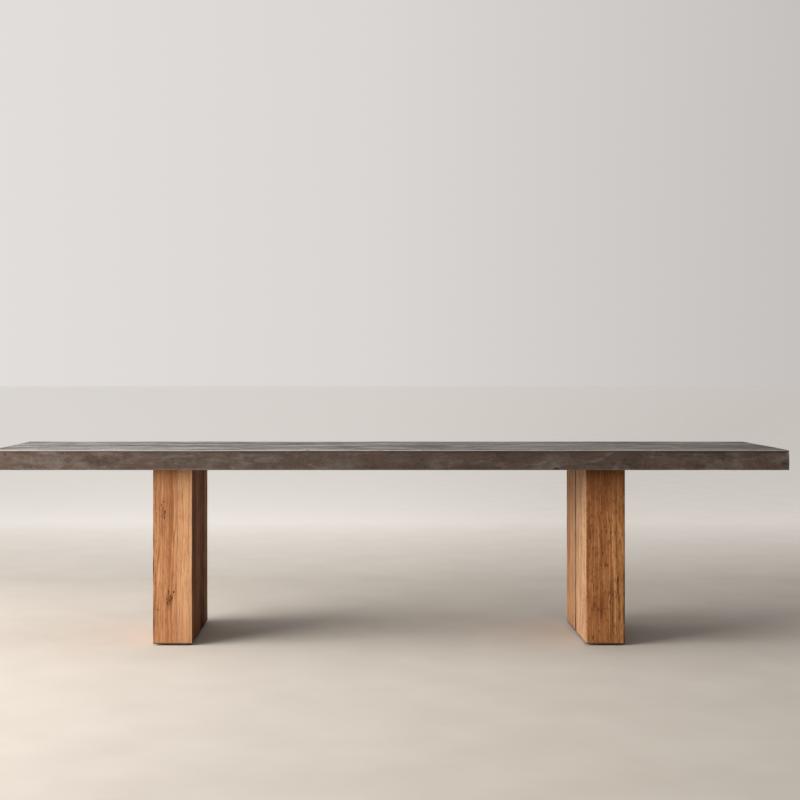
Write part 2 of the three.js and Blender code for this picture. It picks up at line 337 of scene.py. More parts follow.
def concrete(top):
    """Dark weathered grey-brown concrete, hand trowelled, with pale scuffs and pin holes.
    top is the height of the slab's upper face."""
    s = Surface("weathered_concrete")
    clouds = s.noise(4.5, detail=5, roughness=0.6, distortion=0.4)
    patches = s.drawn((17, 24, 34), detail=5, roughness=0.6, distortion=0.5)
    smears = s.drawn((10, 30, 44), detail=5, roughness=0.6, distortion=0.8)
    mottle = s.noise(75, detail=6, roughness=0.65)
    grit = s.noise(620, detail=3, roughness=0.7)
    tone = s.total((clouds, 0.3), (patches, 0.32), (smears, 0.26), (mottle, 0.2))
    colour = s.ramp(tone, CONCRETE_TONES)
    # rusty brown blooms between the greys, and a darker stretch over the middle
    blooms = s.drawn((9, 15, 22), (3, 1, 7), detail=5, roughness=0.6)
    colour = s.lay(RUSTY_BLOOM, colour, s.between(blooms, 0.46, 0.62, 0, 0.6))
    from_middle = s.math("ABSOLUTE", s.math("SUBTRACT", s.axes["X"], 0.05))
    colour = s.lay(DARKER_MIDDLE, colour, s.between(from_middle, 0.3, 0.72, 0.5, 0))
    # the trowelled top is greyer, and painted palest to the left, where the light falls, with worn patches,
    # swirls and scuffs
    up = s.between(s.facing()["Z"], 0.4, 0.9)
    top_with_painted_left_light = s.product(up, s.between(s.axes["X"], 0, 0.9, 1, 0.6))
    colour = s.lay(TROWELLED_TOP, colour, top_with_painted_left_light, 0.6)
    worn = s.drawn((5, 11, 30), (4, 2, 9), turn=-14, detail=10, roughness=0.74, distortion=0.2)
    colour = s.lay(WORN_TOP, colour, up, s.between(worn, 0.42, 0.62, 0, 0.78))
    swirls = s.drawn((4.5, 15, 30), (8, 3, 1), turn=9, detail=11, roughness=0.76, distortion=0.25)
    colour = s.lay(PALE_SWIRL, colour, top_with_painted_left_light, s.between(swirls, 0.44, 0.70, 0, 0.85))
    scuffs = s.drawn((12, 34, 50), (1, 5, 2), turn=5, detail=6, roughness=0.66, distortion=1)
    scuffed = s.between(scuffs, 0.55, 0.70)
    colour = s.lay(PALE_SCUFF, colour, scuffed, s.between(up, 0, 1, 0.3, 0.4))
    # a broken dark line under the top edge: painted shadow of the trowelled lip
    depth = s.math("SUBTRACT", top, s.axes["Z"])
    broken = s.drawn((5, 5, 20), (0, 0, 3), detail=6)
    upper_edge = s.between(depth, 3.0 * MM, 4.2 * MM)
    lower_edge = s.between(depth, 5 * MM, 12 * MM, 1, 0)
    lip_shadow = s.product(upper_edge, lower_edge, s.between(broken, 0.42, 0.58))
    colour = s.lay(LIP_SHADOW, colour, lip_shadow, 0.8)
    # sand and cement grains
    colour = s.lay(CEMENT_GRAIN, colour, s.between(grit, 0.35, 0.60, 0.35, 0))
    colour = s.lay(SAND_GRAIN, colour, s.between(grit, 0.60, 0.72, 0, 0.4))
    # the top arris is rubbed pale and carries a painted highlight, most of all to the left
    rightwards = s.math("MULTIPLY_ADD", s.axes["X"], 0.5, patches)
    rubbed_and_highlit = s.product(s.attribute("wear"), s.between(rightwards, 0.30, 0.75, 1, 0.75))
    colour = s.lay(RUBBED_AND_HIGHLIT_ARRIS, colour, rubbed_and_highlit, s.between(depth, 10 * MM, 30 * MM, 1, 0.1))
    # a painted shade line under the top arris, darkest to the right
    painted_shade_rightwards = s.between(rightwards, 0.20, 0.55, 0.1, 0.75)
    colour = s.lay(PAINTED_ARRIS_SHADE, colour, s.attribute("dirt_and_painted_shade"), painted_shade_rightwards)
    # painted shade darkens the chips and air holes inside, and pin holes are drawn as dots of painted shade
    colour = s.lay(HOLLOW_SHADE, colour, s.attribute("hollow"), 0.9)
    pins = s.product(s.between(s.cells(130), 0.09, 0.17, 1, 0), s.between(mottle, 0.50, 0.60))
    colour = s.lay(PIN_HOLE_SHADE, colour, pins, 0.8)
    # the swirls on the top are burnished, most of all to the left
    matt = s.between(s.total((patches, 0.4), (scuffs, 0.6)), 0.40, 0.60, 0.92, 0.6)
    burnished = s.product(up, s.between(swirls, 0.42, 0.60, 0.08, 0.50))
    burnished = s.product(burnished, s.between(s.axes["X"], -0.6, 0.6, 1.15, 0.4))
    s.set(Base_Color=colour, Roughness=s.math("SUBTRACT", matt, burnished))
    s.set(Specular_IOR_Level=0.25)
    s.relief(
        (smears, 1.2), (patches, 1.5), (scuffs, 0.8), (mottle, 0.9), (grit, 0.3),
        (s.product(pins, -1), 0.8),
    )
    return s.material


# Where a teak face's light, middle and dark tones lie in its pattern.
TEAK_STOPS = (0.48, 0.57, 0.66)
OLD_STAIN = (0.17, 0.050, 0.018)
RUBBED_WOOD = (0.76, 0.47, 0.28)
WOOD_GRIME = (0.045, 0.018, 0.008)
FOOT_GAP_SHADOW = (0.030, 0.012, 0.006)
PIT_SHADE = (0.026, 0.009, 0.004)


def teak(name, looks, seed, bottom, top):
    """Reclaimed teak: uneven rings about a pith beside the stave, open pores and old stains.
    looks is a stave's own row in STAVE_LOOKS. bottom and top are the heights of its ends."""
    front_tones, side_tones, flecked = looks
    s = Surface(name)
    shift = (seed * 1.37, seed * 0.71, seed * 2.13)
    # the pith lies a hand's breadth behind and beside the stave, and never runs quite straight
    pith_x = 0.13 + 0.02 * math.sin(seed * 2.1)
    pith_y = 0.09 + 0.03 * math.sin(seed * 1.3)
    across = s.math("ADD", s.axes["X"], pith_x)
    along = s.math("SUBTRACT", s.axes["Y"], pith_y)
    radius = s.math("SQRT", s.math("ADD", s.product(across, across), s.product(along, along)))
    sway = s.drawn((5, 5, 1.8), shift, detail=2)
    wobble = s.drawn((32, 32, 7), shift, detail=3)
    bent = s.total((radius, 1), (sway, 0.045), (wobble, 0.012))
    one_way = {"noise_dimensions": "1D"}
    ring_noise = s.node("ShaderNodeTexNoise", one_way, W=bent, Scale=170, Detail=3, Roughness=0.6)
    rings = ring_noise.outputs["Fac"]
    streaks = s.drawn((200, 200, 5), shift, detail=5, roughness=0.7, distortion=0.3)
    bands = s.drawn((36, 36, 1.3), shift, roughness=0.6)
    blotches = s.drawn((40, 40, 14), shift, roughness=0.6)
    dashes = s.drawn((340, 340, 30), shift, roughness=0.65)
    tone = s.total((rings, 0.28), (streaks, 0.28), (bands, 0.16), (blotches, 0.20), (dashes, 0.22))
    sideways = s.between(s.math("ABSOLUTE", s.facing()["X"]), 0.5, 0.8)
    front = s.ramp(tone, list(zip(TEAK_STOPS, reversed(front_tones))))
    side = s.ramp(tone, list(zip(TEAK_STOPS, reversed(side_tones))))
    colour = s.mix(sideways, front, side)
    darkest = front_tones[0]
    dark = shaded(darkest, 0.45)
    pores = s.between(s.drawn((900, 900, 26), shift, detail=2, roughness=0.6), 0.57, 0.7)
    colour = s.lay(dark, colour, pores, 0.6)
    flecks = s.between(s.drawn((360, 360, 78), shift, detail=5, roughness=0.68), 0.545, 0.65)
    colour = s.lay(dark, colour, flecks, flecked)
    # the left leg is darker at its foot, and both have painted shadow under the seat, the right one most
    low_down = s.between(s.axes["Z"], 0.16, 0.01)
    colour = s.lay(darkest, colour, low_down, s.between(s.axes["X"], -0.3, 0.3, 0.42, 0))
    seat_shadow_height = s.between(s.axes["Z"], top - 0.13, top - 0.01)
    shade = s.product(s.between(s.axes["X"], -0.4, 0.4, 0.42, 0.74), s.between(sideways, 0, 1, 1, 0.5))
    colour = s.lay(shaded(darkest, 0.55), colour, seat_shadow_height, shade)
    # stains, rubbed arrises, grime, painted shadow of the gap along the lower edge, and painted shade in
    # the pits
    colour = s.lay(OLD_STAIN, colour, s.attribute("stain"), 0.8)
    colour = s.lay(RUBBED_WOOD, colour, s.attribute("wear"), s.between(bands, 0.35, 0.6, 0.5, 0.9))
    grimy = s.between(blotches, 0.36, 0.6, 0.45, 1)
    colour = s.lay(WOOD_GRIME, colour, s.attribute("dirt_and_painted_shade"), grimy)
    # painted shadow of the gap under the leg, along its lowest few mm
    above = s.math("SUBTRACT", s.axes["Z"], bottom)
    colour = s.lay(FOOT_GAP_SHADOW, colour, s.between(above, 1.4 * MM, 3.0 * MM, 0.85, 0))
    # painted shade inside the pits
    colour = s.lay(PIT_SHADE, colour, s.attribute("hollow"), 0.9)
    # the cut ends drink in dirt and oil
    end_grain = s.between(s.math("ABSOLUTE", s.facing()["Z"]), 0.6, 0.9)
    colour = s.lay(dark, colour, end_grain, 0.6)
    s.set(Base_Color=colour, Specular_IOR_Level=0.05)
    s.set(Roughness=s.between(streaks, 0.3, 0.7, 0.62, 0.82))
    s.relief((s.total((pores, -0.4), (flecks, -0.4 * flecked)), 0.4), (streaks, 0.6))
    return s.material


def fibre_cement():
    """Grey fibre-cement board, faintly flecked."""
    s = Surface("fibre_cement")
    flecks = s.drawn((60, 190, 190), detail=5, roughness=0.7)
    clouds = s.noise(9)
    tone = s.total((flecks, 0.5), (clouds, 0.5))
    s.set(Base_Color=s.ramp(tone, [(0.35, (0.20, 0.19, 0.175)), (0.65, (0.31, 0.30, 0.28))]))
    s.set(Roughness=s.between(flecks, 0.3, 0.7, 0.8, 0.95))
    s.relief((flecks, 0.3))
    return s.material


def foam():
    """Extruded foam with closed cells."""
    s = Surface("foam")
    cells = s.cells(420)
    s.set(Base_Color=s.ramp(cells, [(0.1, (0.42, 0.55, 0.62)), (0.7, (0.56, 0.68, 0.74))]))
    s.set(Roughness=s.between(cells, 0, 1, 0.8, 0.95))
    s.relief((cells, 0.4))
    return s.material


def metal(name, tones, cloud_size, gloss):
    """Bare or plated metal, slightly clouded. gloss is its least and greatest roughness."""
    s = Surface(name)
    clouds = s.noise(1 / cloud_size, detail=5, roughness=0.65)
    s.set(Base_Color=s.ramp(clouds, [(0.35, tones[0]), (0.65, tones[1])]), Metallic=1.0)
    s.set(Roughness=s.between(clouds, 0.3, 0.7, *gloss))
    s.relief((clouds, 0.04))
    return s.material


def dark_coat(name, tones, grain_size, grain_depth, gloss):
    """A near-black coating or moulding with a fine grain, its depth in mm, and faint scuffs."""
    s = Surface(name)
    grain = s.noise(1 / grain_size, detail=2)
    scuffs = s.noise(70, detail=6, roughness=0.7)
    s.set(Base_Color=s.ramp(scuffs, [(0.42, tones[0]), (0.75, tones[1])]))
    s.set(Roughness=s.between(scuffs, 0.3, 0.7, *gloss))
    s.relief((grain, grain_depth))
    return s.material


# ---- mesh tools ----


def mesh_of(bm, name):
    """The mesh made from a bmesh, which is used up, with its faces turned outwards."""
    bmesh.ops.recalc_face_normals(bm, faces=bm.faces)
    mesh = bpy.data.meshes.new(name)
    bm.to_mesh(mesh)
    bm.free()
    return mesh


def finished(name, bm, body, material, nodes, sharp_degrees):
    """The object made from a bmesh: it rides on body and stands for the CAD nodes."""
    mesh = mesh_of(bm, name)
    mesh.shade_smooth()
    mesh.set_sharp_from_angle(angle=math.radians(sharp_degrees))
    mesh.materials.append(material)
    piece = placed(name, mesh)
    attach(piece, body)
    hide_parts(*nodes)
    return piece


# Points nearer than this are one point, and how wide a slit a cut may leave.
SAME_POINT = 1e-6
SLIT = 0.2 * MM


def clean(mesh):
    """Joins points that lie on each other, removes faces and edges of no size, and closes slits."""
    bm = bmesh.new()
    bm.from_mesh(mesh)
    bmesh.ops.remove_doubles(bm, verts=bm.verts, dist=SAME_POINT)
    bmesh.ops.dissolve_degenerate(bm, edges=bm.edges, dist=SAME_POINT)
    open_verts = {vert for edge in bm.edges if edge.is_boundary for vert in edge.verts}
    bmesh.ops.remove_doubles(bm, verts=list(open_verts), dist=SLIT)
    bm.to_mesh(mesh)
    bm.free()


def cut_out(piece, cutters, sharp_degrees):
    """Takes each cutter out of a piece. A cutter is a bmesh of solids that don't touch each other,
    or an empty one, which takes nothing."""
    for bm in cutters:
        if not bm.faces:
            continue
        mesh = mesh_of(bm, "cutter")
        tool = placed("cutter", mesh)
        boolean = piece.modifiers.new("cut", "BOOLEAN")
        boolean.operation = "DIFFERENCE"
        boolean.solver = "EXACT"
        boolean.object = tool
        bpy.context.view_layer.update()
        evaluated = piece.evaluated_get(bpy.context.evaluated_depsgraph_get())
        result = bpy.data.meshes.new_from_object(evaluated)
        clean(result)
        piece.modifiers.clear()
        old = piece.data
        piece.data = result
        result.name = piece.name
        bpy.data.meshes.remove(old)
        bpy.data.objects.remove(tool)
        bpy.data.meshes.remove(mesh)
    piece.data.set_sharp_from_angle(angle=math.radians(sharp_degrees))


def add_block(bm, lo, hi):
    """A box between two corners."""
    made = bmesh.ops.create_cube(bm, size=1)["verts"]
    for vert in made:
        for axis in range(3):
            vert.co[axis] = hi[axis] if vert.co[axis] > 0 else lo[axis]


def add_sides(bm, loops):
    """The faces between each loop of points and the next."""
    for below, above in zip(loops, loops[1:]):
        for i in range(len(below)):
            after = (i + 1) % len(below)
            bm.faces.new((below[i], below[after], above[after], above[i]))


def add_turned(bm, x, y, rings, closed=False):
    """A piece made of rings, each a height and its points' distances from the axis. A closed one's
    last ring joins its first, as in a tube, and others have flat ends."""
    loops = []
    for z, radii in rings:
        turns = [2 * math.pi * i / len(radii) for i in range(len(radii))]
        ring = [(x + r * math.cos(t), y + r * math.sin(t), z) for r, t in zip(radii, turns)]
        loops.append([bm.verts.new(point) for point in ring])
    add_sides(bm, loops + loops[:1] if closed else loops)
    if not closed:
        bm.faces.new(loops[0])
        bm.faces.new(loops[-1])


def add_bar(bm, x, y, radius, z0, z1, sides=40):
    """An upright round bar."""
    add_turned(bm, x, y, [(z, [radius] * sides) for z in (z0, z1)])


# How far into a rounded edge each line of mesh lies, as shares of its radius.
EASED = [1 - math.tan(math.radians(a)) for a in (45, 30, 15, 0)]


def lines(lo, hi, radius, step):
    """Places of the mesh lines from lo to hi: close together round the edges, then about a step apart."""
    near = [share * radius for share in EASED]
    count = max(1, round((hi - lo - 2 * radius) / step))
    middle = [lo + radius + (hi - lo - 2 * radius) * i / count for i in range(1, count)]
    return [lo + x for x in near] + middle + [hi - x for x in reversed(near)]


def rounded_block(lo, hi, radius, steps):
    """A block with rounded edges and a mesh of quads, apart from one flat face underneath."""
    xs, ys, zs = (lines(lo[a], hi[a], radius, steps[a]) for a in range(3))
    bm = bmesh.new()
    made = {}

    def add_face(*places):
        for i, j, k in places:
            if (i, j, k) not in made:
                made[i, j, k] = bm.verts.new((xs[i], ys[j], zs[k]))
        bm.faces.new([made[place] for place in places])

    right, back, top = len(xs) - 1, len(ys) - 1, len(zs) - 1
    rim = len(EASED) - 1
    right_in, back_in = right - rim, back - rim
    for i in range(right):
        for j in range(back):
            square = [(i, j), (i + 1, j), (i + 1, j + 1), (i, j + 1)]
            add_face(*[(a, b, top) for a, b in square])
            if not (rim <= i < right_in and rim <= j < back_in):
                add_face(*[(a, b, 0) for a, b in reversed(square)])
    for k in range(top):
        for i in range(right):
            for j in (0, back):
                add_face((i, j, k), (i + 1, j, k), (i + 1, j, k + 1), (i, j, k + 1))
        for j in range(back):
            for i in (0, right):
                add_face((i, j, k), (i, j + 1, k), (i, j + 1, k + 1), (i, j, k + 1))
    flat = [(i, rim, 0) for i in range(rim, right_in)]
    flat += [(right_in, j, 0) for j in range(rim, back_in)]
    flat += [(i, back_in, 0) for i in range(right_in, rim, -1)]
    flat += [(rim, j, 0) for j in range(back_in, rim, -1)]
    add_face(*flat)
    return bm


def outward(co, lo, hi, radius):
    """The nearest point of the block's core, and the way out from it, at a point of the block."""
    core = Vector([min(max(co[a], lo[a] + radius), hi[a] - radius) for a in range(3)])
    way = co - core
    return core, way.normalized() if way.length > 1e-9 else Vector((0, 0, 1))


def rippled(co, size, seed):
    """Smooth noise from -1 to 1 whose waves are about size apart along each axis."""
    return noise.noise(Vector([co[a] / size[a] + seed * 7.3 for a in range(3)]))


def dips(co, size, seed, deepest):
    """Smooth noise from 0 to deepest, which is in mm, given back in metres."""
    return 0.5 * (1 + rippled(co, size, seed)) * deepest * MM


def along_x(items, place):
    """A lookup of the items whose x, which place gives, is within reach of a value."""
    ordered = sorted(items, key=lambda item: place(item).x)
    keys = [place(item).x for item in ordered]
    return lambda x, reach: ordered[bisect_left(keys, x - reach) : bisect_right(keys, x + reach)]


# A hollow reaches no further than this many of its radii.
HOLLOW_REACH = 1.3


def refine(bm, hollows, cuts):
    """Makes the mesh finer round each hollow, so that its shape is smooth."""
    middles = {face: face.calc_center_median() for face in bm.faces if len(face.verts) == 4}
    lookup = along_x(middles, middles.get)
    near = set()
    for centre, radii in hollows:
        reach = [HOLLOW_REACH * radius + 3 * MM for radius in radii]
        for face in lookup(centre[0], reach[0]):
            if all(abs(middles[face][a] - centre[a]) < reach[a] for a in (1, 2)):
                near.add(face)
    edges = {edge for face in near for edge in face.edges}
    bmesh.ops.subdivide_edges(bm, edges=list(edges), cuts=cuts, use_grid_fill=True)


def scoop(bm, hollows):
    """Presses each hollow into the surface as part of a rough ellipsoid, and marks its points."""
    mark = bm.verts.layers.float["hollow"]
    lookup = along_x(bm.verts, lambda vert: vert.co)
    for centre, radii in hollows:
        for vert in lookup(centre[0], HOLLOW_REACH * radii[0]):
            off = Vector([(vert.co[a] - centre[a]) / radii[a] for a in range(3)])
            rim = 1 + 0.22 * rippled(vert.co, (2.5 * MM,) * 3, 5)
            if 1e-6 < off.length < rim:
                vert[mark] = max(vert[mark], min(1, 2.2 * (rim - off.length)))
                off = off.normalized() * rim
                vert.co = Vector([centre[a] + radii[a] * off[a] for a in range(3)])


# ---- seat slab ----

SLAB_EDGE = 2.6 * MM  # the rounding of its edges
TOP_INSERT_BORE = 7.2 * MM  # a radius
SLAB_SHARP = 40  # degrees
PAINTED_SHADE_LINE = 4.6  # mm below the top: the middle of the painted shade line under the arris
GROOVE_LINE = 5.5  # mm below the top: the middle of the trowel's groove


def slab_hollows(lo, hi):
    """The chips along the slab's edges and the air holes in its faces: (centre, radii) of each."""
    pick = random.Random(41)
    clear = 20 * MM

    def mostly_small(least, more):
        return (least + more * pick.random() ** 3) * MM

    def spaced(start, end, furthest):
        """Places from start to end, random steps apart."""
        place = start + clear
        while place < end - clear:
            yield place
            place += pick.uniform(20 * MM, furthest)

    chips = []
    for y in (lo.y, hi.y):
        for z in (lo.z, hi.z):
            for x in spaced(lo.x, hi.x, 130 * MM):
                size = mostly_small(0.7, 2.4)
                chips.append(((x, y, z), (size * pick.uniform(1.2, 3.2), size, size)))
    for x in (lo.x, hi.x):
        for z in (lo.z, hi.z):
            for y in spaced(lo.y, hi.y, 120 * MM):
                size = mostly_small(0.7, 2.2)
                chips.append(((x, y, z), (size, size * pick.uniform(1.2, 3), size)))
    # a knock in the front's lower edge
    chips.append(((0.383, lo.y, lo.z), (6.9 * MM, 5.5 * MM, 5.5 * MM)))
    # air holes in the cast sides
    holes = []
    lowest, highest = lo.z + 4 * MM, hi.z - 3 * MM
    for y in (lo.y, hi.y):
        for _ in range(34):
            size = mostly_small(0.6, 1.3)
            place = (pick.uniform(lo.x, hi.x), y, pick.uniform(lowest, highest))
            holes.append((place, (size, size, size)))
    for x in (lo.x, hi.x):
        for _ in range(8):
            size = mostly_small(0.6, 1.3)
            place = (x, pick.uniform(lo.y, hi.y), pick.uniform(lowest, highest))
            holes.append((place, (size, size, size)))
    # larger ones near the top of the front
    for x, depth in ((-0.877, 11), (-0.566, 12), (0.619, 13)):
        holes.append(((x, lo.y, hi.z - depth * MM), (2.2 * MM, 1.7 * MM, 1.7 * MM)))
    # a few in the trowelled top
    for _ in range(24):
        size = pick.uniform(0.5, 1.1) * MM
        place = (pick.uniform(lo.x, hi.x), pick.uniform(lo.y, hi.y), hi.z)
        holes.append((place, (size * 1.4, size, size)))
    return chips, holes


def slab_cutters():
    """What the seat is hollowed out by: the panels' rebates, then the bays and plates, then bores."""
    headroom = 0.3 * MM
    rebates, bays, bores = bmesh.new(), bmesh.new(), bmesh.new()

    def add_room(bm, node, gap, below):
        """Room for a node, with a gap round it, headroom over it and open space below it."""
        lo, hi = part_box(node)
        add_block(bm, lo - Vector((gap, gap, below)), hi + Vector((gap, gap, headroom)))

    for node in nodes_called("underside_panel_"):
        add_room(rebates, node, 0.5 * MM, 5 * MM)
    for node in nodes_called("foam_core_"):
        add_room(bays, node, 0.5 * MM, 2 * MM)
    for side in SIDES:
        add_room(bays, f"{side}_mounting_plate", 1 * MM, 5 * MM)
        for i in range(1, 5):
            insert = f"{side}_top_insert_{i}"
            lo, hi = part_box(insert)
            add_bar(bores, *axis_of(insert), TOP_INSERT_BORE, lo.z - 3 * MM, hi.z + headroom)
    return [rebates, bays, bores]


def make_slab():
    """The cast seat: wavy by hand but never outside its CAD box, and flat and hollowed out underneath."""
    lo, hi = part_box("top_casting")
    bm = rounded_block(lo, hi, SLAB_EDGE, (6 * MM, 6 * MM, 2.2 * MM))
    bm.verts.layers.float.new("hollow")
    wear, dirt_and_painted_shade = (bm.verts.layers.float.new(name) for name in ("wear", "dirt_and_painted_shade"))
    for vert in bm.verts:
        core, way = outward(vert.co, lo, hi, SLAB_EDGE)
        below_top = (hi.z - vert.co.z) / MM
        # wear marks the arrises, and a line under the top one is marked for painted shade
        to_edge = sorted(min(vert.co[a] - lo[a], hi[a] - vert.co[a]) for a in range(3))[1]
        vert[wear] = clamped(1.9 - to_edge / (1.7 * MM))
        vert[dirt_and_painted_shade] = clamped(1.5 - abs(below_top - PAINTED_SHADE_LINE) / 1.6)
        wavy = (
            dips(core, (0.33, 0.2, 0.2), 1, 1.3)
            + dips(core, (0.07, 0.05, 0.04), 2, 0.35)
            + dips(core, (0.16, 0.015, 0.03), 3, 0.45)
        )
        not_below = clamped((way.z + 1) * 2)
        worn = vert[wear] * max(0, rippled(core, (0.05, 0.05, 0.05), 4)) * 1.6 * MM
        # the trowel has left a slight lip along the top edge, over a shallow groove
        in_groove = math.exp(-(((below_top - GROOVE_LINE) / 2.2) ** 2))
        groove = in_groove * dips(core, (0.09, 0.07, 1), 6, 1.1)
        lip = 0 if abs(way.z) > 0.5 else groove
        vert.co = core + way * (SLAB_EDGE - wavy * not_below - worn - lip)
    chips, holes = slab_hollows(lo, hi)
    # the wavy surface lies a little inside the box, so each hole is moved onto it
    surface = BVHTree.FromBMesh(bm)
    hollows = chips + [(surface.find_nearest(centre)[0], radii) for centre, radii in holes]
    refine(bm, hollows, 3)
    scoop(bm, hollows)
    material = concrete(hi.z)
    slab = finished("seat_slab", bm, "bench", material, ["top_casting"], SLAB_SHARP)
    cut_out(slab, slab_cutters(), SLAB_SHARP)


# ---- legs ----

FREE_EDGE = 1.9 * MM  # the rounding of a leg's own corners
SEAM_EDGE = 0.45 * MM  # the rounding beside a glue line
OPEN_EDGE = 2.2 * MM  # the rounding beside the one joint that has opened
STAVE_SHARP = 35  # degrees
STAVE_EASE = 0.5 * MM  # how far a stave's ends are eased
STAVE_ROW = 7 * MM  # mesh steps: up a stave, round its outer sides and round its glued ones
STAVE_FINE = 1.8 * MM
STAVE_COARSE = 12 * MM
# The radii of what is drilled: for the screws, and for a foot's insert, its flange and its stud.
SCREW_BORE = 4.2 * MM
INSERT_BORE = 6.3 * MM
FLANGE_BORE = 8.8 * MM
STUD_BORE = 4.9 * MM

# Dark, middle and light tones of each kind of board.
AMBER = ((0.30, 0.124, 0.051), (0.475, 0.222, 0.098), (0.60, 0.320, 0.158))
ROSE = ((0.35, 0.155, 0.070), (0.52, 0.268, 0.130), (0.63, 0.360, 0.19))
TAN = ((0.24, 0.098, 0.040), (0.47, 0.230, 0.105), (0.63, 0.350, 0.18))
BROWN = ((0.19, 0.075, 0.030), (0.34, 0.155, 0.067), (0.50, 0.26, 0.13))
RED = ((0.15, 0.050, 0.017), (0.345, 0.135, 0.047), (0.49, 0.225, 0.095))
GOLD = ((0.18, 0.068, 0.021), (0.39, 0.170, 0.061), (0.54, 0.27, 0.115))
PINK = ((0.32, 0.16, 0.083), (0.47, 0.265, 0.143), (0.60, 0.375, 0.22))
# The two darkest tones are darker wood with painted shade in them, for the left leg's inner side.
UMBER_WITH_SHADE = ((0.026, 0.007, 0.001), (0.16, 0.047, 0.010), (0.38, 0.155, 0.042))
SEPIA_WITH_SHADE = ((0.10, 0.033, 0.008), (0.33, 0.130, 0.040), (0.54, 0.26, 0.10))
# Each stave's front and side tones, and how strong its short dark marks are.
STAVE_LOOKS = {
    "left_leg_outer_stave_1": (AMBER, TAN, 0.4),
    "left_leg_outer_stave_2": (BROWN, BROWN, 0.35),
    "left_leg_outer_stave_3": (TAN, TAN, 0.35),
    # the left leg's inner sides take the tones with painted shade
    "left_leg_inner_stave_1": (ROSE, UMBER_WITH_SHADE, 0.3),
    "left_leg_inner_stave_2": (BROWN, SEPIA_WITH_SHADE, 0.3),
    "left_leg_inner_stave_3": (UMBER_WITH_SHADE, UMBER_WITH_SHADE, 0.3),
    "left_leg_inner_stave_4": (BROWN, SEPIA_WITH_SHADE, 0.3),
    "right_leg_outer_stave_1": (GOLD, GOLD, 0.75),
    "right_leg_outer_stave_2": (TAN, TAN, 0.4),
    "right_leg_outer_stave_3": (RED, RED, 0.5),
    "right_leg_inner_stave_1": (RED, PINK, 0.95),
    "right_leg_inner_stave_2": (PINK, PINK, 0.15),
    "right_leg_inner_stave_3": (TAN, PINK, 0.2),
    "right_leg_inner_stave_4": (BROWN, TAN, 0.3),
}
# The side of each stave beside the joint that has opened.
OPEN_JOINT = {"right_leg_inner_stave_2": "back", "right_leg_inner_stave_3": "front"}
# Stains on the legs' fronts: (x, z) of the middle, half width and half height in mm, strength.
STAINS = {
    "left": [
        ((-0.507, 0.106), (6.5, 22), 1.1),
        ((-0.522, 0.302), (6, 36), 0.7),
        ((-0.508, 0.31), (7, 30), 0.5),
    ],
    "right": [
        ((0.529, 0.136), (2.4, 26), 1.0),
        ((0.5335, 0.06), (1.8, 60), 0.8),
        ((0.495, 0.09), (8, 30), 0.4),
        ((0.48, 0.26), (14, 60), 0.3),
    ],
}
# A forked check near the right leg's outer edge: x, z and half height in mm of each part.
FORKED_CHECK = (
    (0.5275, 0.150, 12),
    (0.5300, 0.154, 8),
    (0.5290, 0.128, 14),
    (0.5315, 0.104, 10),
    (0.5335, 0.070, 16),
)


def stave_section(lo, hi, radii, steps):
    """Points round a stave, anticlockwise from its front left corner: (x, y, way out x, way out y).
    radii are its corners' and steps its sides' mesh steps, both starting at the front left."""
    a, b, c, d = radii
    centres = [(lo.x + a, lo.y + a), (hi.x - b, lo.y + b), (hi.x - c, hi.y - c), (lo.x + d, hi.y - d)]
    arc = 4  # mesh steps round a corner
    points = []
    for n, (cx, cy) in enumerate(centres):
        for i in range(arc + 1):
            turn = math.radians((180 + 90 * n) % 360 + 90 * i / arc)
            way_x, way_y = math.cos(turn), math.sin(turn)
            points.append((cx + radii[n] * way_x, cy + radii[n] * way_y, way_x, way_y))
        # the straight side runs on to where the next corner begins
        x0, y0 = points[-1][:2]
        next_x, next_y = centres[(n + 1) % 4]
        x1 = next_x if abs(way_x) < 0.5 else x0
        y1 = next_y if abs(way_y) < 0.5 else y0
        count = max(1, round(math.hypot(x1 - x0, y1 - y0) / steps[n]))
        for i in range(1, count):
            points.append((x0 + (x1 - x0) * i / count, y0 + (y1 - y0) * i / count, way_x, way_y))
    return points


